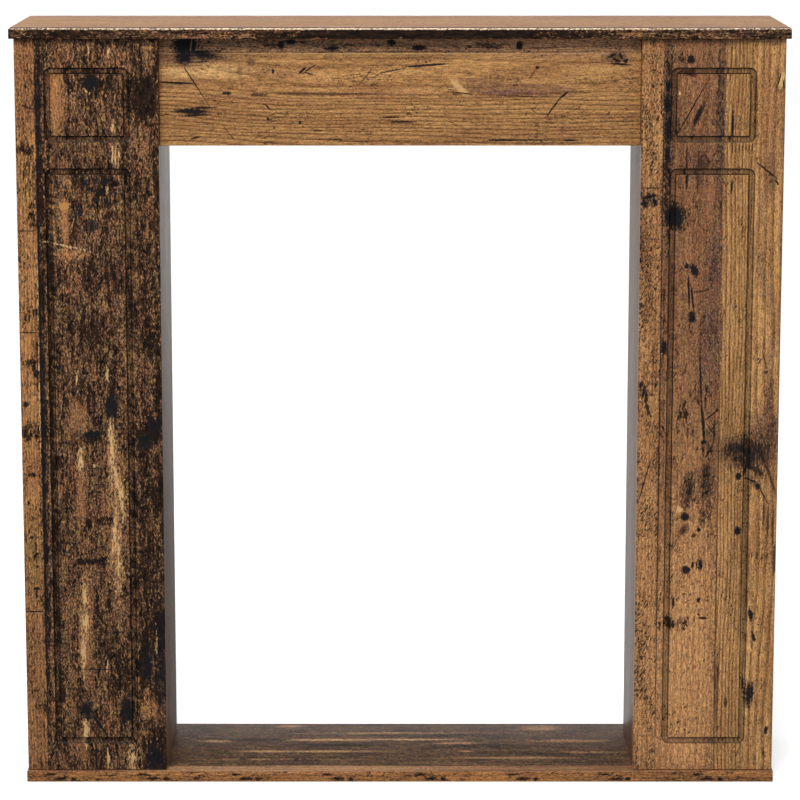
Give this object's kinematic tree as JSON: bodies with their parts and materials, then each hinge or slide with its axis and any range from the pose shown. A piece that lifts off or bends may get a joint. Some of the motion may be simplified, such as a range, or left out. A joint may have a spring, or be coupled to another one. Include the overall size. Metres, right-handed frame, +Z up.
{
  "type": "fireplace surround",
  "caption": "Free-standing fireplace surround: hollow pillars with routed frames on a base board carry a header and a mantel board, with foil that looks like old wooden planks.",
  "frame": {"origin": "centre of the overall footprint at floor level, under the middle of the mantel board", "axes": "+Z up, the front faces -Y, the wall is at +Y, and +X is to the right seen from the front"},
  "size_m": [1.03, 0.245, 1.03],
  "materials": {
    "mantel_foil": "satin printed foil, old brown planks with black stains",
    "base_foil": "satin printed foil, dark grey-brown planks, orange-brown edge band",
    "header_foil": "satin printed foil, light old pine with horizontal grain",
    "left_front_foil": "satin printed foil, blackened old planks with vertical grain",
    "right_front_foil": "satin printed foil, light brown old planks with vertical grain",
    "side_foil": "satin printed foil, brown old planks with vertical grain"
  },
  "bodies": {
    "root": {"mantel_board": "mantel_foil", "base_board": "base_foil", "header_board": "header_foil", "left_pillar_front": "left_front_foil", "right_pillar_front": "right_front_foil", "left_pillar_inner_side": "side_foil", "left_pillar_outer_side": "side_foil", "right_pillar_inner_side": "side_foil", "right_pillar_outer_side": "side_foil"}
  },
  "joints": []
}
